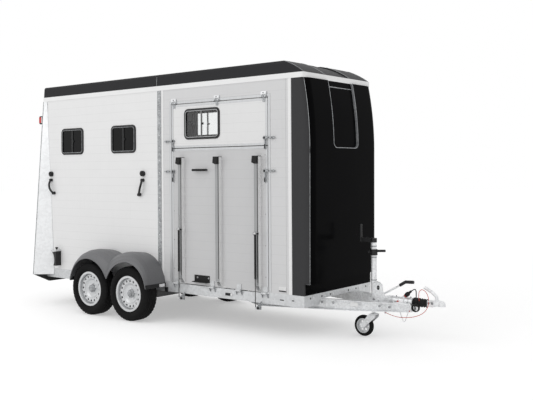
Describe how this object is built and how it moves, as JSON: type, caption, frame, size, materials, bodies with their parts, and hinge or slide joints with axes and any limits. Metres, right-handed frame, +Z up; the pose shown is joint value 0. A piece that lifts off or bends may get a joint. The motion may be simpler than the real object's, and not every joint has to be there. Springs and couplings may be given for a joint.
{
  "type": "horse trailer",
  "caption": "Tandem-axle horse trailer with a side ramp and window flap, rear ramp, groom's door, domed roof, overrun hitch and jockey wheel.",
  "frame": {"origin": "on the floor, on the centreline, at the middle of the overall length", "axes": "+X forward to the coupling, +Y to the left, +Z up"},
  "size_m": [5.522, 1.976, 2.9051],
  "materials": {
    "white_panel": "satin white sandwich panel",
    "black_panel": "gloss black moulded panel",
    "dark_panel": "dark grey textured moulding",
    "roof_panel": "dark grey textured roof",
    "fender_plastic": "dark grey moulded plastic",
    "black_fitting": "black plastic",
    "white_rail": "white coated extrusion",
    "galvanised": "hot-dip galvanised steel",
    "aluminium": "mill aluminium",
    "rim_steel": "silver painted steel",
    "axle_steel": "dark steel",
    "tyre": "black tyre rubber",
    "rubber": "black rubber",
    "floor_ply": "coated plywood",
    "glass": "tinted window",
    "lamp_lens": "red lens",
    "padding": "black padded cover",
    "chromed": "polished rod",
    "cable_red": "red coated wire"
  },
  "bodies": {
    "trailer": {"chassis_frame": "galvanised", "floor_board": "floor_ply", "drawbar": "galvanised", "axles": "axle_steel", "fenders": "fender_plastic", "rear_walls": "white_panel", "front_wall_right": "white_panel", "front_wall_left": "white_panel", "seam_posts": "galvanised", "nose_shell": "black_panel", "nose_corners": "dark_panel", "cant_rail": "white_rail", "roof": "roof_panel", "rear_portal": "galvanised", "rear_bumper": "black_fitting", "lamps": "lamp_lens", "window_frames": "black_fitting", "window_panes": "glass", "wall_fittings": "black_fitting", "stall_bars": "galvanised", "partition": "padding", "door_hinges": "galvanised", "overrun_housing": "galvanised", "coupling_head": "galvanised", "hitch_boot": "rubber", "handbrake": "galvanised", "jockey_tube": "galvanised", "breakaway_cable": "cable_red", "lamp_lead": "rubber"},
    "side_ramp_body": {"side_ramp": "white_panel", "side_ramp_rails": "aluminium", "side_ramp_fittings": "rubber"},
    "side_flap_body": {"side_flap": "white_panel", "side_flap_fittings": "aluminium", "flap_window_frame": "black_fitting", "flap_window_pane": "glass"},
    "rear_ramp_body": {"rear_ramp": "white_panel", "rear_ramp_rails": "aluminium", "rear_ramp_fittings": "rubber"},
    "rear_flap_body": {"rear_flap": "white_panel", "rear_flap_fittings": "aluminium"},
    "groom_door_body": {"groom_door": "white_panel"},
    "strut_cylinder_rear_body": {"strut_cylinder_rear": "black_fitting"},
    "strut_rod_rear_body": {"strut_rod_rear": "chromed"},
    "strut_cylinder_front_body": {"strut_cylinder_front": "black_fitting"},
    "strut_rod_front_body": {"strut_rod_front": "chromed"},
    "jockey_fork_body": {"jockey_fork": "galvanised"},
    "jockey_wheel_body": {"jockey_tyre": "rubber", "jockey_rim": "rim_steel"},
    "wheel_front_right": {"tyre_front_right": "tyre", "rim_front_right": "rim_steel"},
    "wheel_front_left": {"tyre_front_left": "tyre", "rim_front_left": "rim_steel"},
    "wheel_rear_right": {"tyre_rear_right": "tyre", "rim_rear_right": "rim_steel"},
    "wheel_rear_left": {"tyre_rear_left": "tyre", "rim_rear_left": "rim_steel"}
  },
  "joints": [
    {"name": "side_ramp_hinge", "type": "hinge", "parent": "trailer", "child": "side_ramp_body", "pos_m": [0.406, -0.68, 0.452], "axis": [1, 0, 0], "range_deg": [0, 105]},
    {"name": "side_flap_hinge", "type": "hinge", "parent": "trailer", "child": "side_flap_body", "pos_m": [0.406, -0.677, 2.512], "axis": [-1, 0, 0], "range_deg": [0, 100]},
    {"name": "rear_ramp_hinge", "type": "hinge", "parent": "trailer", "child": "rear_ramp_body", "pos_m": [-2.689, 0, 0.452], "axis": [0, -1, 0], "range_deg": [0, 105]},
    {"name": "rear_flap_hinge", "type": "hinge", "parent": "trailer", "child": "rear_flap_body", "pos_m": [-2.686, 0, 2.626], "axis": [0, 1, 0], "range_deg": [0, 100]},
    {"name": "groom_door_hinge", "type": "hinge", "parent": "trailer", "child": "groom_door_body", "pos_m": [1.197, 0.674, 1.4], "axis": [0, 0, -1], "range_deg": [0, 110]},
    {"name": "strut_cylinder_rear_hinge", "type": "hinge", "parent": "side_ramp_body", "child": "strut_cylinder_rear_body", "pos_m": [-0.119, -0.732, 1.078], "axis": [1, 0, 0], "range_deg": [-9.5, 0.5]},
    {"name": "strut_rod_rear_slide", "type": "slide", "parent": "strut_cylinder_rear_body", "child": "strut_rod_rear_body", "axis": [0, 0, -1], "range_m": [-0.245, 0.002]},
    {"name": "strut_cylinder_front_hinge", "type": "hinge", "parent": "side_ramp_body", "child": "strut_cylinder_front_body", "pos_m": [0.981, -0.732, 1.078], "axis": [1, 0, 0], "range_deg": [-9.5, 0.5]},
    {"name": "strut_rod_front_slide", "type": "slide", "parent": "strut_cylinder_front_body", "child": "strut_rod_front_body", "axis": [0, 0, -1], "range_m": [-0.245, 0.002]},
    {"name": "wheel_front_right_spin", "type": "hinge", "parent": "trailer", "child": "wheel_front_right", "pos_m": [-0.7255, -0.87, 0.317], "axis": [0, 1, 0], "continuous": true},
    {"name": "wheel_front_left_spin", "type": "hinge", "parent": "trailer", "child": "wheel_front_left", "pos_m": [-0.7255, 0.87, 0.317], "axis": [0, 1, 0], "continuous": true},
    {"name": "wheel_rear_right_spin", "type": "hinge", "parent": "trailer", "child": "wheel_rear_right", "pos_m": [-1.4125, -0.87, 0.317], "axis": [0, 1, 0], "continuous": true},
    {"name": "wheel_rear_left_spin", "type": "hinge", "parent": "trailer", "child": "wheel_rear_left", "pos_m": [-1.4125, 0.87, 0.317], "axis": [0, 1, 0], "continuous": true},
    {"name": "jockey_swivel", "type": "hinge", "parent": "trailer", "child": "jockey_fork_body", "pos_m": [1.972, 0, 0.25], "axis": [0, 0, 1], "continuous": true},
    {"name": "jockey_wheel_spin", "type": "hinge", "parent": "jockey_fork_body", "child": "jockey_wheel_body", "pos_m": [1.852, 0, 0.11], "axis": [0, 1, 0], "continuous": true}
  ],
  "couplings": [
    {"joint": "strut_cylinder_rear_hinge", "follows": "side_ramp_hinge", "ratio": -0.0852},
    {"joint": "strut_rod_rear_slide", "follows": "side_ramp_hinge", "m_per_rad": -0.1303},
    {"joint": "strut_cylinder_front_hinge", "follows": "side_ramp_hinge", "ratio": -0.0852},
    {"joint": "strut_rod_front_slide", "follows": "side_ramp_hinge", "m_per_rad": -0.1303}
  ]
}
